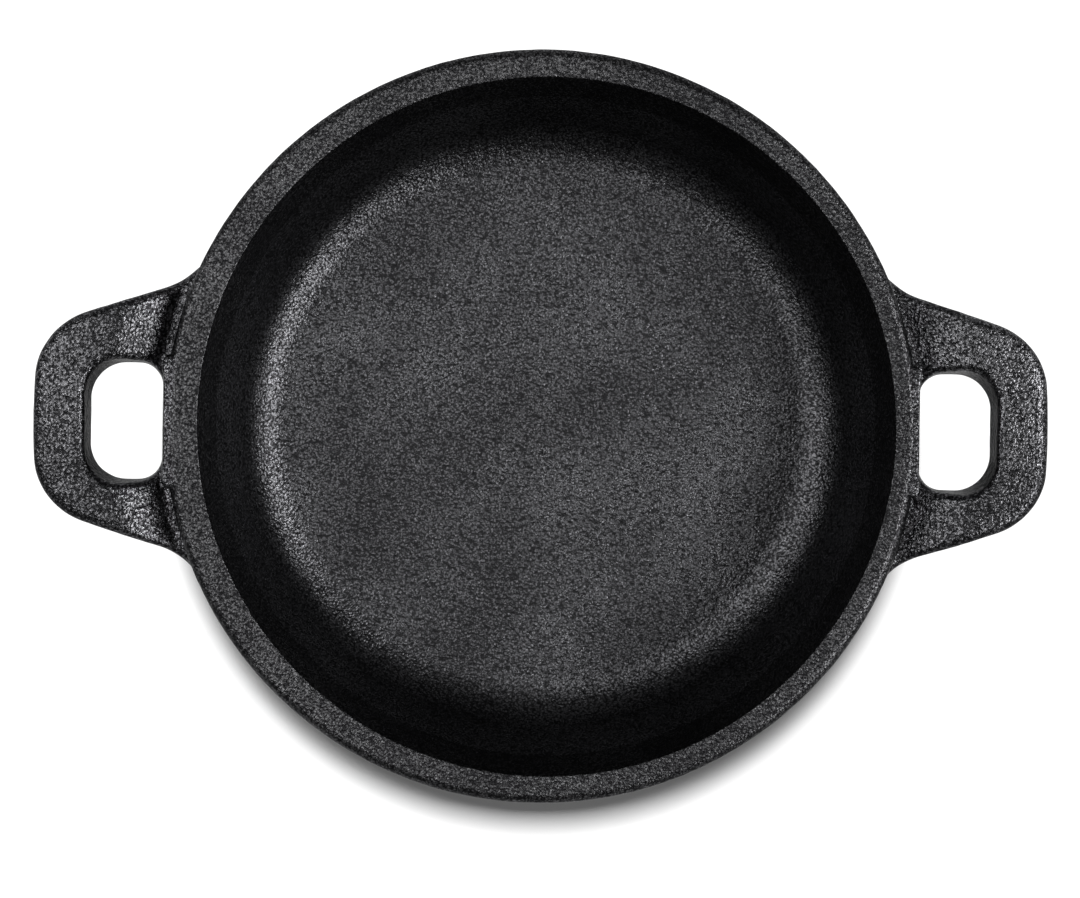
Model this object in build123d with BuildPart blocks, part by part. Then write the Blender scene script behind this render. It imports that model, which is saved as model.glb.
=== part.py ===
from build123d import *
from math import acos, cos, degrees, radians, sin, sqrt, tan
import os

# Cast iron skillet with two loop handles, a single sand casting.
# The pan's axis is Z, the table is Z = 0 and the handles lie along X.
# The casting is divided where its shape changes: the cooking floor, the side wall, the rim band,
# the foot ring and the two handles. The pieces meet face to face. Sizes are in millimetres.

# Bowl
rim_diameter = 165.0  # across the outside of the rim band
pan_height = 38.0  # table to the top of the rim
rim_width = 5.8  # flat land on top of the rim
rim_band_height = 6.0  # outer face of the rim band
rim_band_draft = 2.0  # degrees, the band narrows towards its foot
rim_edge_radius = 2.2  # rounding of the rim's outer edge
mouth_edge_radius = 0.6  # rounding of the rim's inner edge
wall_thickness = 4.6  # square to the wall
wall_draft = 19.0  # degrees from upright, inside and outside
floor_thickness = 4.2
floor_fillet = 12.0  # inside, between floor and wall
base_fillet = 16.0  # outside, between base and wall

# Foot ring under the floor
foot_height = 1.2
foot_width = 4.0
foot_inset = 0.4  # from the floor disc's edge to the ring
foot_edge_radius = 0.4

# Loop handles
handle_reach = 28.7  # rim to the outer end of the grip
handle_tip_width = 40.0  # between the two sides, where they would meet the outer end
handle_side_angle = 19.0  # degrees, each side opens towards the pan
handle_corner_radius = 15.0
grip_bow = 1.2  # how far the outer end bulges in the middle
root_flare_radius = 5.0  # hollow corner in plan between a side and the rim
root_drop = 6.8  # rim top to the trough where a handle starts
trough_width = 1.6  # level stretch between the rim band and the rise
rise_length = 11.5  # plan length of the rise from the trough to the grip
grip_drop = 1.8  # rim top to the top of the grip
grip_thickness = 8.0
grip_crown = 0.9  # how far the grip's top falls away past its outer edge
gusset_depth = 9.8  # how far the underside sweeps down to the wall
gusset_length = 20.0
handle_top_radius = 2.2  # rounding of a handle's outline, on top
handle_underside_radius = 1.5  # and underneath

# Finger hole in each handle, measured at the top of the grip
finger_length = 28.6  # along Y
finger_width = 20.6  # along X
finger_tuck = 2.6  # how far the hole's near side lies in under the rim
finger_corner_radius = 7.5
finger_draft = 8.0  # degrees, the hole narrows downwards
finger_edge_radius = 1.0  # rounding of the hole's lower edge

# Levels, radii and slopes that follow from the sizes above
rim_radius = rim_diameter / 2
mouth_radius = rim_radius - rim_width
floor_top = foot_height + floor_thickness
band_foot = pan_height - rim_band_height
band_foot_radius = rim_radius - rim_band_height * tan(radians(rim_band_draft))
wall_slope = tan(radians(wall_draft))
wall_level_thickness = wall_thickness / cos(radians(wall_draft))
whole_part = 2 * (rim_diameter + pan_height)  # a length greater than anything it has to cross


def inner_radius(z):
    """Radius of the wall's inner face, or of its straight line carried on, at height z."""
    return mouth_radius - (pan_height - z) * wall_slope


def outer_radius(z):
    """Radius of the wall's outer face, or of its straight line carried on, at height z."""
    return inner_radius(z) + wall_level_thickness


# The fillets start where the floor stops being level.
floor_radius = inner_radius(floor_top) - floor_fillet * tan(radians(90 - wall_draft) / 2)

# Under the rim band the outside slopes back to the wall at 45 degrees.
wall_top = band_foot - (band_foot_radius - outer_radius(band_foot)) / (1 - wall_slope)

# Outside of the bowl as a filled body, which the handles are trimmed to.
with BuildPart() as bowl_outside:
    with BuildSketch(Plane.XZ):
        with BuildLine():
            Polyline(
                (0, foot_height),
                (outer_radius(foot_height), foot_height),
                (outer_radius(wall_top), wall_top),
                (band_foot_radius, band_foot),
                (rim_radius, pan_height),
                (0, pan_height),
                close=True,
            )
        make_face()
    revolve(axis=Axis.Z)
    base_edge = bowl_outside.edges().filter_by(GeomType.CIRCLE).sort_by(Axis.Z)[0]
    fillet(base_edge, base_fillet)

# Rim: the flat land and the thickened band, down to where the slope meets the wall.
with BuildPart() as rim:
    with BuildSketch(Plane.XZ):
        with BuildLine():
            Polyline(
                (inner_radius(wall_top), wall_top),
                (outer_radius(wall_top), wall_top),
                (band_foot_radius, band_foot),
                (rim_radius, pan_height),
                (mouth_radius, pan_height),
                close=True,
            )
        make_face()
    revolve(axis=Axis.Z)
    land_edges = rim.edges().filter_by(GeomType.CIRCLE).group_by(Axis.Z)[-1]
    fillet(land_edges.sort_by(SortBy.RADIUS)[-1], rim_edge_radius)
    land_edges = rim.edges().filter_by(GeomType.CIRCLE).group_by(Axis.Z)[-1]
    fillet(land_edges.sort_by(SortBy.RADIUS)[0], mouth_edge_radius)
    rim.part.label = "rim"

# Cooking floor: a disc, as far out as the floor is level.
with BuildPart() as cooking_floor:
    with BuildSketch(Plane.XY.offset(foot_height)):
        Circle(floor_radius)
    extrude(amount=floor_thickness)
    cooking_floor.part.label = "cooking_floor"

# Side wall: from the floor's edge, round the fillets and up to the rim.
with BuildPart() as side_wall:
    with BuildSketch(Plane.XZ):
        with BuildLine():
            Polyline(
                (0, foot_height),
                (outer_radius(foot_height), foot_height),
                (outer_radius(wall_top), wall_top),
                (inner_radius(wall_top), wall_top),
                (inner_radius(floor_top), floor_top),
                (0, floor_top),
                close=True,
            )
        make_face()
    revolve(axis=Axis.Z)
    base_edge = side_wall.edges().filter_by(GeomType.CIRCLE).sort_by(Axis.Z)[0]
    fillet(base_edge, base_fillet)
    corner_edge = side_wall.edges().filter_by(GeomType.CIRCLE).filter_by_position(
        Axis.Z, floor_top, floor_top
    )
    fillet(corner_edge, floor_fillet)
    with BuildSketch(Plane.XY):
        Circle(floor_radius)
    extrude(amount=pan_height, mode=Mode.SUBTRACT)
    side_wall.part.label = "side_wall"

# Foot ring: the low ring that the pan stands on.
foot_radius = floor_radius - foot_inset
with BuildPart() as foot_ring:
    with BuildSketch(Plane.XY):
        Circle(foot_radius)
        Circle(foot_radius - foot_width, mode=Mode.SUBTRACT)
    extrude(amount=foot_height)
    fillet(foot_ring.edges().group_by(Axis.Z)[0], foot_edge_radius)
    foot_ring.part.label = "foot_ring"

# A handle's side view, turned about the pan's axis, gives its top and its underside.
trough_z = pan_height - root_drop
grip_z = pan_height - grip_drop
grip_underside = grip_z - grip_thickness
gusset_z = grip_underside - gusset_depth
tip_radius = rim_radius + handle_reach
past_the_tip = tip_radius + handle_corner_radius
rise_start = rim_radius + trough_width
rise_middle = rise_start + rise_length / 2
rise_end = rise_start + rise_length
root_inside = inner_radius(gusset_z) + wall_thickness / 2
gusset_end = root_inside + gusset_length

# A handle is thinnest at its trough, which limits the rounding of its edges.
gusset_radius = (gusset_length**2 + gusset_depth**2) / (2 * gusset_depth)
trough_underside = grip_underside - gusset_radius + sqrt(gusset_radius**2 - (gusset_end - rise_start) ** 2)
trough_thickness = trough_z - trough_underside
rounding = min(1, 0.85 * trough_thickness / (handle_top_radius + handle_underside_radius))
handle_top_round = round(handle_top_radius * rounding, 1)
handle_low_round = round(handle_underside_radius * rounding, 1)

# Its plan has two sides that open towards the pan, a bowed outer end and a flare at each root.
side_slope = tan(radians(handle_side_angle))
tip_half = handle_tip_width / 2
tip_corner_x = tip_radius - grip_bow
side_start_x = rim_radius - handle_reach
side_start_half = tip_half + (tip_corner_x - side_start_x) * side_slope
side_distance = (tip_half + tip_corner_x * side_slope) * cos(radians(handle_side_angle))
flare_angle = 90 - handle_side_angle - degrees(
    acos((side_distance + root_flare_radius) / (band_foot_radius + root_flare_radius))
)
flare_half = band_foot_radius * sin(radians(flare_angle))
finger_middle = rim_radius - finger_tuck + finger_width / 2


def is_upright(face):
    """Whether a face stands square to the table."""
    return abs(face.normal_at().Z) < 1e-3


def outline_edges(faces, lowest, highest):
    """Edges of a handle's upright sides between two heights, outside the rim."""
    edges = faces.filter_by(is_upright).edges()
    edges = edges.filter_by(lambda edge: edge.center().X > rim_radius)
    return edges.filter_by(
        lambda edge: lowest < edge.center().Z < highest and abs(edge.tangent_at().Z) < 0.99
    )


with BuildPart() as right_handle:
    with BuildSketch(Plane.XZ):
        with BuildLine():
            Line((root_inside, gusset_z), (root_inside, trough_z))
            Line((root_inside, trough_z), (rise_start, trough_z))
            hollow = TangentArc(
                (rise_start, trough_z), (rise_middle, (trough_z + grip_z) / 2), tangent=(1, 0)
            )
            TangentArc(hollow @ 1, (rise_end, grip_z), tangent=hollow % 1)
            crown = TangentArc(
                (rise_end, grip_z), (past_the_tip, grip_z - grip_crown), tangent=(1, 0)
            )
            Line(crown @ 1, (past_the_tip, grip_underside))
            Line((past_the_tip, grip_underside), (gusset_end, grip_underside))
            TangentArc((gusset_end, grip_underside), (root_inside, gusset_z), tangent=(-1, 0))
        make_face()
    revolve(axis=Axis.Z)
    with BuildSketch() as plan:
        with BuildLine():
            Polyline(
                (tip_corner_x, -tip_half),
                (side_start_x, -side_start_half),
                (side_start_x, side_start_half),
                (tip_corner_x, tip_half),
            )
            ThreePointArc((tip_corner_x, tip_half), (tip_radius, 0), (tip_corner_x, -tip_half))
        make_face()
        fillet(plan.vertices().group_by(Axis.X)[-1], handle_corner_radius)
        Circle(band_foot_radius)
        fillet(plan.vertices().filter_by(lambda corner: 0 < corner.X < rim_radius), root_flare_radius)
        Rectangle(whole_part, 2 * flare_half, align=(Align.MIN, Align.CENTER), mode=Mode.INTERSECT)
    extrude(amount=whole_part, mode=Mode.INTERSECT)
    fillet(outline_edges(right_handle.faces(), trough_z - 1, whole_part), handle_top_round)
    add(bowl_outside.part, mode=Mode.SUBTRACT)
    low_edges = outline_edges(right_handle.faces(), 0, grip_underside + 1e-3)
    fillet(low_edges, handle_low_round)
    with BuildSketch(Plane.XY.offset(grip_z)):
        with Locations((finger_middle, 0)):
            RectangleRounded(finger_width, finger_length, finger_corner_radius)
    extrude(amount=-grip_z, taper=finger_draft, mode=Mode.SUBTRACT)
    hole_edges = right_handle.edges().filter_by(
        lambda edge: edge.center().X > rim_radius
        and edge.center().Z < grip_underside + 1e-3
        and abs(edge.center().Y) < finger_length / 2
    )
    hole_edges = hole_edges.filter_by(lambda edge: edge.center().X < finger_middle + finger_width / 2)
    fillet(hole_edges, finger_edge_radius)
    right_handle.part.label = "right_handle"

# The left handle is the right one's mirror image.
with BuildPart() as left_handle:
    add(right_handle.part)
    mirror(about=Plane.YZ, mode=Mode.REPLACE)
    left_handle.part.label = "left_handle"

os.makedirs("parts", exist_ok=True)
for piece in (cooking_floor, side_wall, rim, foot_ring, right_handle, left_handle):
    export_step(piece.part, "parts/" + piece.part.label + ".step")
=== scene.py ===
from math import ceil, cos, hypot, pi, radians, sin, tan

import bpy
import numpy as np
from mathutils import Matrix, Vector


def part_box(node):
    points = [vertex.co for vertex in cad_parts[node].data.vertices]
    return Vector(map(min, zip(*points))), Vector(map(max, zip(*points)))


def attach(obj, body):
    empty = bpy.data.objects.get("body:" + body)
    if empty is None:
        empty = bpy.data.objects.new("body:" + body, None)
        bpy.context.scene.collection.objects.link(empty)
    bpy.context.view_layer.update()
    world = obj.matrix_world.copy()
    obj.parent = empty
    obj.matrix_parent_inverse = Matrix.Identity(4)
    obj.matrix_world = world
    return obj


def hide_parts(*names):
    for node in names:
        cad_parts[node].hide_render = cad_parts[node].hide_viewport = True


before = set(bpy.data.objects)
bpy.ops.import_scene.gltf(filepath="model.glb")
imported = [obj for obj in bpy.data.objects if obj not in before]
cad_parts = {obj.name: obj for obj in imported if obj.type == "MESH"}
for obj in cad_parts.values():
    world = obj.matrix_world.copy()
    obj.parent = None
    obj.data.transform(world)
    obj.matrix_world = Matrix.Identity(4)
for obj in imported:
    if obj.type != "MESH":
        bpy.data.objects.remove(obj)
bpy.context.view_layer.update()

mm = 0.001

# ---------------------------------------------------------------------------------------------
# Cooking floor
# The level disc in the middle of the pan, 4 mm of grey iron poured in one go with the walls and
# the handles. It keeps the print of the moulding sand under black, baked-on oil.
# ---------------------------------------------------------------------------------------------

round_steps = 800  # divisions round the pan, the same on every turned piece
core_shift = 1.1 * mm  # the sand core sat this far off, so the pan's hollow is off its outside
floor_low, floor_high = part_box("cooking_floor")
floor_radius = (floor_high[0] - floor_low[0]) / 2
floor_top = floor_high[2]
floor_base = floor_low[2]


def lumps(places, size, draw):
    """Smooth heights from -1 to 1, with swellings about one size across."""
    cells = 48
    heights = np.random.default_rng(draw).uniform(-1, 1, (cells, cells, cells))
    spots = places / size
    low = np.floor(spots).astype(int)
    share = spots - low
    share = share * share * (3 - 2 * share)
    total = np.zeros(len(places))
    for corner in np.ndindex(2, 2, 2):
        near = np.where(corner, share, 1 - share).prod(axis=1)
        total += near * heights[tuple(((low + corner) % cells).T)]
    return total


def relief(places):
    """How far the iron stands proud of the pattern: slow waves, rammed sand and coarse grain."""
    waves = 0.06 * mm * lumps(places, 24 * mm, 1)
    sand = 0.035 * mm * lumps(places, 5.5 * mm, 2)
    grain = 0.035 * mm * lumps(places, 1.9 * mm, 3)
    return waves + sand + grain


def cast_skin(places, normals):
    """The pattern's skin as the casting has it, with the normals that go with it."""
    height = relief(places)
    probe = 0.05 * mm
    slope = np.stack([relief(places + probe * along) - height for along in np.eye(3)], axis=1) / probe
    slope -= (slope * normals).sum(axis=1, keepdims=True) * normals
    tilted = normals - slope
    tilted /= np.linalg.norm(tilted, axis=1, keepdims=True)
    return places + height[:, None] * normals, tilted


pieces = {}


def iron_piece(name, places, normals, faces, finish, slot):
    """One region of the casting as a mesh, standing for the frame's node of that name."""
    places, normals = cast_skin(places, normals)
    mesh = bpy.data.meshes.new(name)
    mesh.from_pydata(places, [], faces)
    mesh.polygons.foreach_set("use_smooth", np.ones(len(faces), bool))
    mesh.normals_split_custom_set_from_vertices(normals)
    mesh.materials.append(finish)
    piece = bpy.data.objects.new(name + "_casting", mesh)
    bpy.context.scene.collection.objects.link(piece)
    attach(piece, "root")
    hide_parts(name)
    pieces[name] = piece


def seasoned_iron(name, deep, rubbed, bead, shine, painted_shade):
    """Sand-cast iron under baked oil: black in the pits, greyer and smoother on the bead tops.

    A painted shade darkens a face more, the further it turns from straight up.
    """
    finish = bpy.data.materials.new(name)
    finish.use_nodes = True
    nodes, links = finish.node_tree.nodes, finish.node_tree.links
    skin = nodes["Principled BSDF"]
    place = nodes.new("ShaderNodeTexCoord").outputs["Object"]
    bead_depth = 0.17 * bead

    def noise(size, detail):
        made = nodes.new("ShaderNodeTexNoise")
        made.inputs["Scale"].default_value = 1 / size
        made.inputs["Detail"].default_value = detail
        links.new(place, made.inputs["Vector"])
        return made.outputs["Fac"]

    def sum_of(*parts):
        total = None
        for output, weight in parts:
            scaled = nodes.new("ShaderNodeMath")
            scaled.operation = "MULTIPLY_ADD"
            links.new(output, scaled.inputs[0])
            scaled.inputs[1].default_value = weight
            if total is None:
                scaled.inputs[2].default_value = 0
            else:
                links.new(total, scaled.inputs[2])
            total = scaled.outputs[0]
        return total

    def between(output, low, high, colours):
        ramp = nodes.new("ShaderNodeValToRGB")
        ramp.color_ramp.elements[0].position = low
        ramp.color_ramp.elements[1].position = high
        for element, colour in zip(ramp.color_ramp.elements, colours):
            element.color = (*colour, 1)
        links.new(output, ramp.inputs["Fac"])
        return ramp.outputs["Color"]

    beads = nodes.new("ShaderNodeTexVoronoi")
    beads.feature = "F1"
    beads.inputs["Scale"].default_value = 1 / bead
    links.new(place, beads.inputs["Vector"])
    domes = nodes.new("ShaderNodeMath")
    domes.operation = "MULTIPLY"
    links.new(beads.outputs["Distance"], domes.inputs[0])
    links.new(beads.outputs["Distance"], domes.inputs[1])
    domes = domes.outputs[0]
    sand = noise(0.55 * bead, 2)
    drift = noise(3.5 * mm, 2)
    patches = noise(28 * mm, 3)
    height = sum_of((domes, -1.0), (sand, 1.1), (drift, 0.8))
    bump = nodes.new("ShaderNodeBump")
    bump.inputs["Strength"].default_value = 1.0
    bump.inputs["Distance"].default_value = bead_depth
    links.new(height, bump.inputs["Height"])
    links.new(bump.outputs["Normal"], skin.inputs["Normal"])
    skyward = nodes.new("ShaderNodeSeparateXYZ")
    links.new(nodes.new("ShaderNodeNewGeometry").outputs["Normal"], skyward.inputs[0])
    upright = nodes.new("ShaderNodeMath")
    upright.operation = "SUBTRACT"
    upright.inputs[0].default_value = 1
    links.new(skyward.outputs["Z"], upright.inputs[1])
    # painted shade: the tone is darkened on faces turned away from straight up
    tone = sum_of((domes, -0.5), (sand, 1.0), (patches, 0.3), (upright.outputs[0], -painted_shade))
    links.new(between(tone, 0.44, 0.88, (deep, rubbed)), skin.inputs["Base Color"])
    gloss = sum_of((sand, 0.5), (drift, 0.3), (patches, 0.4))
    dull, bright = shine
    links.new(between(gloss, 0.35, 0.85, ((dull,) * 3, (bright,) * 3)), skin.inputs["Roughness"])
    skin.inputs["Metallic"].default_value = 0.9
    skin.inputs["Specular Tint"].default_value = (0.42, 0.42, 0.42, 1)
    return finish


def level_disc(radius, height, up):
    """Points, normals and faces of a level disc that has the pan's divisions round its edge."""
    steps = np.linspace(-1, 1, round_steps // 4 + 1)
    across, along = np.meshgrid(steps, steps, indexing="ij")
    wide = np.abs(across) >= np.abs(along)
    reach = np.where(wide, across, along)
    lesser = np.where(wide, along, across)
    turn = pi / 4 * np.divide(lesser, reach, out=np.zeros_like(reach), where=reach != 0)
    turn = np.where(wide, turn, pi / 2 - turn)
    flat = np.stack([radius * reach * np.cos(turn), radius * reach * np.sin(turn)], axis=2)
    places = np.concatenate([flat, np.full((*reach.shape, 1), height)], axis=2).reshape(-1, 3)
    order = np.arange(reach.size).reshape(reach.shape)
    faces = np.stack([order[:-1, :-1], order[1:, :-1], order[1:, 1:], order[:-1, 1:]], axis=2).reshape(-1, 4)
    edge = np.concatenate([order[:-1, 0], order[-1, :-1], order[:0:-1, -1], order[0, :0:-1]])
    normals = np.tile([0.0, 0.0, up], (len(places), 1))
    return places, normals, faces[:, ::up], edge


pan_iron = seasoned_iron(
    "seasoned_pan_iron", (0.016, 0.016, 0.017), (0.175, 0.175, 0.185), 0.62 * mm, (0.33, 0.24), 0.0
)
top_places, top_normals, top_faces, edge = level_disc(floor_radius, floor_top, 1)
top_places[:, 0] += core_shift
low_places, low_normals, low_faces, edge = level_disc(floor_radius, floor_base, -1)
low_edge = edge + len(top_places)
joint = np.stack([edge, low_edge, np.roll(low_edge, -1), np.roll(edge, -1)], axis=1)
iron_piece(
    "cooking_floor",
    np.concatenate([top_places, low_places]),
    np.concatenate([top_normals, low_normals]),
    np.concatenate([top_faces, low_faces + len(top_places), joint]),
    pan_iron,
    "seasoned_iron",
)

# ---------------------------------------------------------------------------------------------
# Side wall
# The same pour of iron, drawn 19 degrees from upright so that the pattern lifts out of the sand.
# It leaves the floor in a wide hollow curve and the base in a wider round one.
# ---------------------------------------------------------------------------------------------

pan_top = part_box("rim")[1][2]
wall_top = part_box("rim")[0][2]
mouth_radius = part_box("rim")[1][0] - 6.2 * mm
wall_draft = 19.0
wall_slope = tan(radians(wall_draft))
wall_level_thickness = 4.6 * mm / cos(radians(wall_draft))
base_round = 16 * mm
outside_seam = wall_top - 4 * mm  # the rim's hollow edge ends here, on the straight of the wall


def inner_radius(z):
    """Radius of the wall's inside at a height."""
    return mouth_radius - (pan_top - z) * wall_slope


def outer_radius(z):
    """Radius of the wall's outside at a height."""
    return inner_radius(z) + wall_level_thickness


def rounded_path(corners, rounds, step):
    """A drawn outline with its inner corners rounded: points, and directions out of the iron."""
    points, outward = [], []
    hair = 1e-6  # of a step, so that a length of whole steps isn't given one more

    def add(point, heading):
        points.append(point)
        outward.append((-heading[1], heading[0]))

    corners = np.array(corners, float)
    here = corners[0]
    for corner, ahead, radius in zip(corners[1:-1], corners[2:], rounds):
        before, after = (v / hypot(*v) for v in (corner - here, ahead - corner))
        bend = np.arctan2(before[0] * after[1] - before[1] * after[0], before @ after)
        start = corner - before * radius * tan(abs(bend) / 2)
        parts = ceil(hypot(*(start - here)) / step - hair)
        for k in range(parts):
            add(here + (start - here) * k / parts, before)
        side = np.sign(bend)
        middle = start + radius * side * np.array([-before[1], before[0]])
        arcs = max(3, ceil(radius * abs(bend) / step))
        for k in range(arcs):
            turned_by = bend * k / arcs
            heading = np.array(
                [
                    before[0] * cos(turned_by) - before[1] * sin(turned_by),
                    before[0] * sin(turned_by) + before[1] * cos(turned_by),
                ]
            )
            add(middle - radius * side * np.array([-heading[1], heading[0]]), heading)
        here = corner + after * radius * tan(abs(bend) / 2)
    parts = max(1, ceil(hypot(*(corners[-1] - here)) / step - hair))
    for k in range(parts + 1):
        add(here + (corners[-1] - here) * k / parts, after)
    return np.array(points), np.array(outward)


def turned(*runs):
    """Points, normals and faces of a closed outline, turned about the axis.

    Each run of the outline says what share of the core's shift its points take.
    """
    turn = np.arange(round_steps) * 2 * pi / round_steps
    spokes = np.stack([np.cos(turn), np.sin(turn)], axis=1)

    def round_the_axis(pairs):
        level = pairs[:, None, :1] * spokes
        up = np.broadcast_to(pairs[:, None, 1:], (len(pairs), round_steps, 1))
        return np.concatenate([level, up], axis=2).reshape(-1, 3)

    outline = np.concatenate([points for points, outward, share in runs])
    facing = np.concatenate([outward for points, outward, share in runs])
    shares = np.concatenate([np.broadcast_to(share, len(points)) for points, outward, share in runs])
    order = np.arange(len(outline) * round_steps).reshape(len(outline), round_steps)
    onward = np.roll(order, -1, axis=0)
    faces = np.stack([order, onward, np.roll(onward, -1, axis=1), np.roll(order, -1, axis=1)], axis=2)
    places = round_the_axis(outline)
    places[:, 0] += core_shift * np.repeat(shares, round_steps)
    return places, round_the_axis(facing), faces.reshape(-1, 4)


floor_round = (inner_radius(floor_top) - floor_radius) / tan(radians(90 - wall_draft) / 2)
inside_run = rounded_path(
    [(floor_radius, floor_top), (inner_radius(floor_top), floor_top), (inner_radius(wall_top), wall_top)],
    [floor_round],
    0.6 * mm,
)
outside_run = rounded_path(
    [
        (outer_radius(outside_seam), outside_seam),
        (outer_radius(floor_base), floor_base),
        (floor_radius, floor_base),
    ],
    [base_round],
    0.65 * mm,
)
iron_piece("side_wall", *turned((*inside_run, 1), (*outside_run, 0)), pan_iron, "seasoned_iron")

# ---------------------------------------------------------------------------------------------
# Rim
# The wall thickens at the mouth to a band with a flat land on top, so that a lid sits and the
# thin edge doesn't chip. It is left as cast and oiled, a shade duller than the inside.
# ---------------------------------------------------------------------------------------------

rim_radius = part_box("rim")[1][0]
band_height = 6 * mm
band_foot = pan_top - band_height
band_foot_radius = rim_radius - 0.2 * mm
mouth_round = 0.4 * mm
shoulder_round = 2.2 * mm
band_round = 1.2 * mm
hollow_round = 2.5 * mm
settling_width = 2 * mm  # the core's shift dies away over this much of the land


def eased(share):
    """A share from 0 to 1 that starts and ends level."""
    share = np.clip(share, 0, 1)
    return share * share * (3 - 2 * share)


# the last number darkens the band's upright faces: painted shade
rim_iron = seasoned_iron(
    "seasoned_rim_iron", (0.014, 0.014, 0.015), (0.155, 0.155, 0.16), 0.62 * mm, (0.34, 0.25), 0.1
)
rim_run = rounded_path(
    [
        (inner_radius(wall_top), wall_top),
        (mouth_radius, pan_top),
        (rim_radius, pan_top),
        (band_foot_radius, band_foot),
        (outer_radius(wall_top), wall_top),
        (outer_radius(outside_seam), outside_seam),
    ],
    [mouth_round, shoulder_round, band_round, hollow_round],
    0.42 * mm,
)
rim_share = eased((rim_radius - shoulder_round - rim_run[0][:, 0]) / settling_width)
iron_piece("rim", *turned((*rim_run, rim_share)), rim_iron, "rim_iron")

# ---------------------------------------------------------------------------------------------
# Foot ring
# A low ring of the same pour under the floor's edge. The pan stands on it alone, so that it stays
# level on a hob when the base bows with heat.
# ---------------------------------------------------------------------------------------------

foot_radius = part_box("foot_ring")[1][0]
foot_width = 4 * mm
foot_round = 0.5 * mm
sunk = 0.3 * mm  # into the base, so that no gap shows

foot_run = rounded_path(
    [
        (foot_radius, floor_base + sunk),
        (foot_radius, 0),
        (foot_radius - foot_width, 0),
        (foot_radius - foot_width, floor_base + sunk),
    ],
    [foot_round, foot_round],
    0.4 * mm,
)
iron_piece("foot_ring", *turned((*foot_run, 0)), pan_iron, "seasoned_iron")

# ---------------------------------------------------------------------------------------------
# Loop handles
# Each handle is a loop of the same iron, rising from a trough beside the rim to a level grip.
# The roots flare into the wall, and the finger hole narrows downwards to leave the sand.
# ---------------------------------------------------------------------------------------------

grip_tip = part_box("right_handle")[1][0]
grip_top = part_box("right_handle")[1][2]
tip_half = 20 * mm
side_angle = 19.0
tip_corner = 14.5 * mm
grip_bow = 1.2 * mm
grip_thickness = 8 * mm
grip_crown = 0.8 * mm
crown_lead = 3 * mm  # the grip starts to fall away this far before its rise ends
trough = pan_top - 6.8 * mm
# radii of the rise: level up to the first, steepest from second to third, level from the last
rise_steps = [rim_radius + out * mm for out in (1.1, 2.6, 8.2, 15.0)]
gusset_depth = 9.8 * mm
gusset_length = 20 * mm
root_low = grip_top - grip_thickness - gusset_depth
gusset_end = inner_radius(root_low) + 2.3 * mm + gusset_length
flare = 6 * mm
flare_reach = 9 * mm
top_round = 2.8 * mm
low_round = 2 * mm
root_round = 1.4 * mm
root_fade = 3 * mm  # the root's rounding dies away this far outside the handle
flare_start = 1 * mm
finger_half_length = 14 * mm
finger_near = rim_radius + 0.2 * mm
finger_far = rim_radius + 17.7 * mm
near_corner = 5 * mm
far_corner = 7.8 * mm
finger_draft = 10.5
near_draft_share = 0.4  # of the draft, on the side of the hole beside the rim
loop_off = 0.8 * mm  # the loop sits this far off the middle of its finger hole
finger_round = 1.6 * mm
lip_out = rim_radius + 0.4 * mm  # the rim's land runs on to a straight lip beside the finger hole
lip_half = 14.2 * mm
lip_top = pan_top - 0.15 * mm
lip_low = trough - 3 * mm
lip_in = rim_radius - 2.6 * mm
lip_side_round = 1.5 * mm
lip_edge_round = 0.8 * mm
lip_hole_round = 0.5 * mm
lip_root_round = 1 * mm
band_taper = 0.035  # how far the rim's band draws in, for each unit downwards
edge_reach = 1.17  # a soft edge with a reach of this many radii follows a turned round one
seat = 1.2 * mm  # how far the handle goes into the wall
feather = 0.015 * mm  # the handle's skin ends where it is this close to the wall's
half_span = 37 * mm  # the roots' flares are cut off this far from the middle, with open ends
cell = 0.42 * mm


def soft_max(a, b, reach):
    """The greater of two distances, with the edge between them rounded over one reach."""
    share = np.clip(0.5 + 0.5 * (a - b) / reach, 0, 1)
    return b + (a - b) * share + reach * share * (1 - share)


def soft_min(a, b, reach):
    """The lesser of two distances, with the corner between them filled over one reach."""
    return -soft_max(-a, -b, reach)


def run_up(at, start, full):
    """Height gained on a slope that goes from level to one in one between two places."""
    share = np.clip((at - start) / (full - start), 0, 1)
    return (full - start) * share * share / 2 + np.clip(at - full, 0, None)


def bowl_outside(z):
    """Radius of the pan's outside, with its rim band, at a height."""
    band = rim_radius - (pan_top - z) * band_taper
    slope = band_foot_radius - (band_foot - z)
    return soft_max(outer_radius(z), soft_min(band, slope, 0.8 * mm), 1.6 * mm)


def plan_distance(x, y):
    """Distance in plan from the handle's outline, below zero inside it."""
    angle = radians(side_angle)
    end_x = grip_tip - tip_corner
    end_y = tip_half + (tip_corner - grip_bow) * tan(angle) - tip_corner / cos(angle)
    x = x + grip_bow * (y / tip_half) ** 2
    y = np.abs(y - loop_off)
    beyond = (x - end_x) * sin(angle) + (y - end_y) * cos(angle)
    forward = (x - end_x) * cos(angle) - (y - end_y) * sin(angle)
    past_end = x - end_x
    at_corner = (forward > 0) & (y > end_y)
    flat = np.where((y <= end_y), np.maximum(past_end, beyond), beyond)
    return np.where(at_corner, np.hypot(x - end_x, y - end_y), flat) - tip_corner


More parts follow.
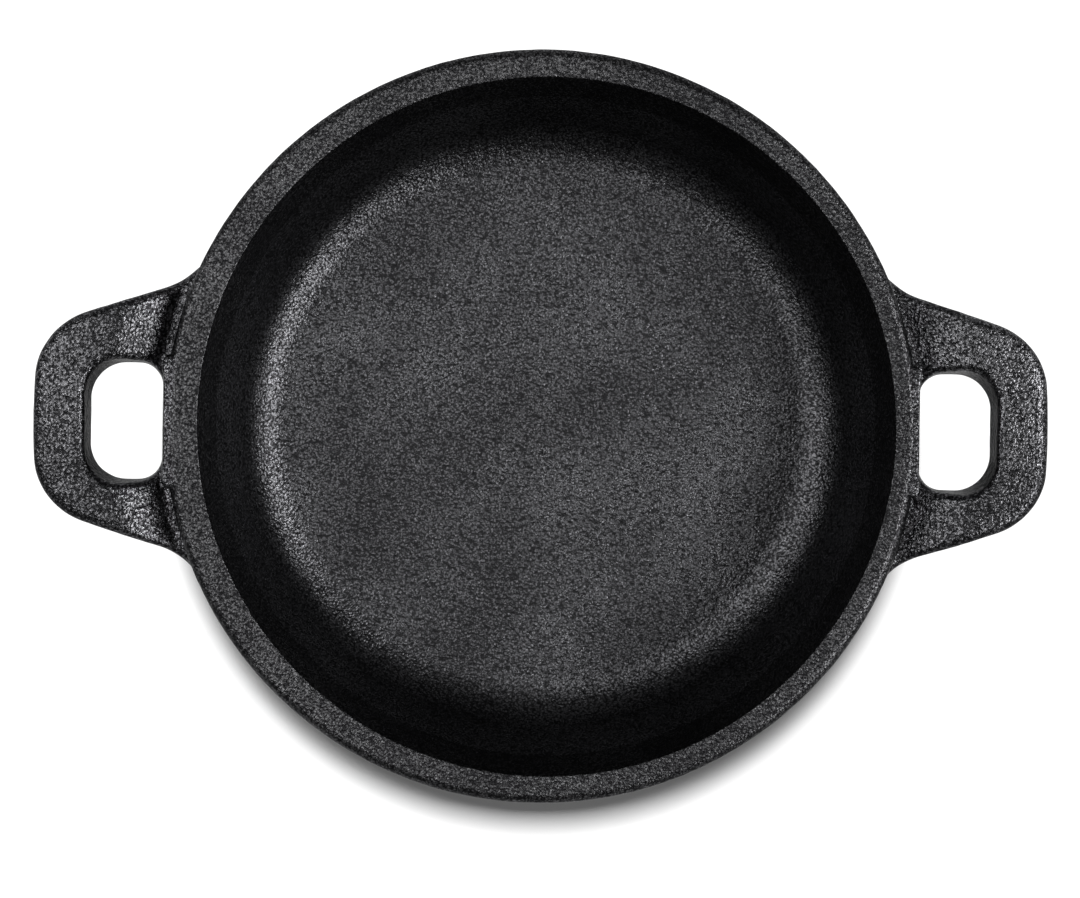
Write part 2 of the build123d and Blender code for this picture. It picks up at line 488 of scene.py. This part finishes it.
def handle_skin(x, y, z):
    """Distance from the joined skin of pan and right handle, and from the pan's alone."""
    radius = np.hypot(x, y)
    bowl = soft_max(radius - bowl_outside(z), z - pan_top, edge_reach * shoulder_round)
    plan = plan_distance(x, y)
    fade = eased((plan - flare_start) / (flare_reach - flare_start))
    root = radius - (band_foot_radius * (1 - fade) + bowl_outside(z) * fade)
    sides = soft_min(plan, root, flare)
    start, steep, easing, level = rise_steps
    climb = run_up(radius, start, steep) - run_up(radius, easing, level)
    full_climb = (level + easing - steep - start) / 2
    past_rise = np.clip(radius - level + crown_lead, 0, None) / (grip_tip - level + crown_lead)
    top = trough + (grip_top - trough) * climb / full_climb - grip_crown * past_rise**2
    sweep = np.clip((gusset_end - radius) / gusset_length, 0, 1.2)
    under = grip_top - grip_thickness - gusset_depth * sweep**2
    body = soft_max(soft_max(sides, z - top, top_round), under - z, low_round)
    narrowing = (grip_top - z) * tan(radians(finger_draft))
    corner = np.where(x < (finger_near + finger_far) / 2, near_corner, far_corner)
    off_x = np.maximum(x - finger_far + narrowing, finger_near + near_draft_share * narrowing - x) + corner
    off_y = np.abs(y) - finger_half_length + narrowing + corner
    hole = np.hypot(np.maximum(off_x, 0), np.maximum(off_y, 0)) - corner
    hole = hole + np.minimum(np.maximum(off_x, off_y), 0)
    body = soft_max(body, -hole, finger_round)
    lip_sides = soft_max(x - lip_out, np.abs(y) - lip_half, lip_side_round)
    lip_ends = np.maximum(lip_low - z, lip_in - radius)
    lip = np.maximum(soft_max(lip_sides, z - lip_top, lip_edge_round), lip_ends)
    lip = soft_max(lip, -hole, lip_hole_round)
    fillet = root_round * np.clip(1 - plan / root_fade, 0.05, 1)
    return np.minimum(soft_min(body, bowl, fillet), soft_min(body, lip, lip_root_round)), bowl


def handle_solid(x, y, z):
    """The handle's own share of the joined skin, seated a little way into the wall."""
    skin, bowl = handle_skin(x, y, z)
    return np.maximum(np.maximum(skin, skin - bowl + feather), -bowl - seat)


def meshed(field, low, size):
    """Points and four-sided faces of the surface where a field, given on a grid, is zero."""
    shape = np.array(field.shape)
    total, count = np.zeros((field.size, 3)), np.zeros(field.size)
    rings = []
    for axis in range(3):
        a, b = (axis + 1) % 3, (axis + 2) % 3
        ahead = np.roll(field, -1, axis)
        spots = np.argwhere((field < 0) != (ahead < 0))
        spots = spots[(spots > 0).all(axis=1) & (spots < shape - 2).all(axis=1)]
        here, there = field[tuple(spots.T)], ahead[tuple(spots.T)]
        crossing = spots.astype(float)
        crossing[:, axis] += here / (here - there)
        ring = []
        for back_a, back_b in ((1, 1), (0, 1), (0, 0), (1, 0)):
            box = spots.copy()
            box[:, a] -= back_a
            box[:, b] -= back_b
            flat = np.ravel_multi_index(tuple(box.T), field.shape)
            for k in range(3):
                total[:, k] += np.bincount(flat, crossing[:, k], field.size)
            count += np.bincount(flat, minlength=field.size)
            ring.append(flat)
        ring = np.stack(ring, axis=1)
        rings.append(np.where((here < 0)[:, None], ring, ring[:, ::-1]))
    used = count > 0
    number = np.cumsum(used) - 1
    return low + size * total[used] / count[used, None], number[np.concatenate(rings)]


reach_low = np.array([inner_radius(trough) - 12 * mm, -half_span, root_low - 2 * mm])
reach_high = np.array([grip_tip + 2 * mm, half_span, pan_top + 1 * mm])
grid = [np.arange(low, high, cell) for low, high in zip(reach_low, reach_high)]
blank_places, blank_faces = meshed(handle_solid(*np.meshgrid(*grid, indexing="ij")), reach_low, cell)


def skin_normals(places):
    """Directions out of the joined skin at some places, and each place's distance from it."""
    probe = 0.02 * mm
    sides = [
        handle_skin(*(places + probe * along).T)[0] - handle_skin(*(places - probe * along).T)[0]
        for along in np.eye(3)
    ]
    slope = np.stack(sides, axis=1) / (2 * probe)
    steepness = np.linalg.norm(slope, axis=1, keepdims=True)
    return slope / steepness, handle_skin(*places.T)[0] / steepness[:, 0]


buried = -0.7 * cell  # a point deeper than this is on the face inside the wall, and stays

for settling in range(3):
    normals, gap = skin_normals(blank_places)
    gap = np.where(gap > buried, gap, 0)
    blank_places = blank_places - gap[:, None] * normals
blank_normals = skin_normals(blank_places)[0]

# the last number darkens the handles' upright faces, such as the finger holes' walls: painted shade
handle_iron = seasoned_iron(
    "seasoned_handle_iron", (0.014, 0.014, 0.015), (0.225, 0.225, 0.236), 0.72 * mm, (0.29, 0.2), 0.1
)
for name, hand in (("right_handle", 1), ("left_handle", -1)):
    mirrored = np.array([hand, 1, 1])
    places, normals = blank_places * mirrored, blank_normals * mirrored
    iron_piece(name, places, normals, blank_faces[:, ::hand], handle_iron, "handle_iron")

# ---------------------------------------------------------------------------------------------
# Table, lights and camera
# A plain pale table under five soft lamps that light the pan alone. The table has a lamp of its
# own, which only the bowl shades, so that it stays clean and white in the finger holes.
# ---------------------------------------------------------------------------------------------

lamp_distance = 1.4
camera_height = 0.90
view_width = 0.2352  # across the view, at the height of the rim

scene = bpy.context.scene
scene.view_settings.view_transform = "Standard"

table_mesh = bpy.data.meshes.new("table")
table_mesh.from_pydata([(-3, -3, 0), (3, -3, 0), (3, 3, 0), (-3, 3, 0)], [], [(0, 1, 2, 3)])
table = bpy.data.objects.new("table", table_mesh)
scene.collection.objects.link(table)
pale = bpy.data.materials.new("pale_table")
pale.use_nodes = True
coat = pale.node_tree.nodes["Principled BSDF"]
coat.inputs["Base Color"].default_value = (0.8, 0.8, 0.8, 1)
coat.inputs["Roughness"].default_value = 0.9
coat.inputs["Emission Color"].default_value = (1, 1, 1, 1)
coat.inputs["Emission Strength"].default_value = 0.06
table_mesh.materials.append(pale)

world = bpy.data.worlds.new("studio")
world.use_nodes = True
world.node_tree.nodes["Background"].inputs["Color"].default_value = (1, 1, 1, 1)
world.node_tree.nodes["Background"].inputs["Strength"].default_value = 0.1
scene.world = world


def facing(back, roll):
    """Turn that points a light or camera's back along a direction, with its top towards +Y."""
    back = back.normalized()
    right = Vector((0, 1, 0)).cross(back).normalized()
    upward = back.cross(right)
    turn = Matrix((right, upward, back)).transposed()
    return (turn @ Matrix.Rotation(radians(roll), 3, "Z")).to_euler()


def group(name, members):
    """A named set of pieces for a light to fall on, or to be blocked by."""
    made = bpy.data.collections.new(name)
    for member in members:
        made.objects.link(member)
    return made


whole_pan = group("whole_pan", pieces.values())
bowl = group("bowl", [pieces["cooking_floor"], pieces["side_wall"], pieces["rim"]])
table_top = group("table_top", [table])


def softbox(name, off_upright, azimuth, width, length, power, lit):
    """An area light aimed at the pan, off_upright degrees from overhead, for one group alone."""
    light = bpy.data.lights.new(name, "AREA")
    light.shape = "RECTANGLE"
    light.size, light.size_y = width, length
    light.energy = power
    lamp = bpy.data.objects.new(name, light)
    lean, bearing = radians(off_upright), radians(azimuth)
    out = Vector((sin(lean) * cos(bearing), sin(lean) * sin(bearing), cos(lean)))
    lamp.location = out * lamp_distance
    lamp.rotation_euler = facing(out, 0)
    lamp.light_linking.receiver_collection = lit
    scene.collection.objects.link(lamp)
    return lamp


softbox("right_softbox", 45, -25, 0.4, 0.8, 11.5, whole_pan)
softbox("low_right_softbox", 54, 6, 0.35, 0.45, 10, whole_pan)
softbox("left_softbox", 24, 198, 0.34, 0.45, 4.6, whole_pan)
softbox("low_left_softbox", 52, 170, 0.3, 0.5, 5, whole_pan)
softbox("overhead_softbox", 22, 118, 0.8, 0.35, 3.5, whole_pan)
table_light = softbox("table_light", 11, 96, 0.25, 0.25, 28, table_top)
table_light.light_linking.blocker_collection = bowl

camera_data = bpy.data.cameras.new("camera")
camera = bpy.data.objects.new("camera", camera_data)
scene.collection.objects.link(camera)
camera_data.sensor_width = 36
camera.location = (-0.015, 0.02, camera_height)
aim = Vector((0.0, 0, pan_top))
camera.rotation_euler = facing(camera.location - aim, 0.85)
camera_data.lens = camera_data.sensor_width * (camera_height - pan_top) / view_width
camera_data.shift_x = -0.0019
camera_data.shift_y = -0.0201
scene.camera = camera
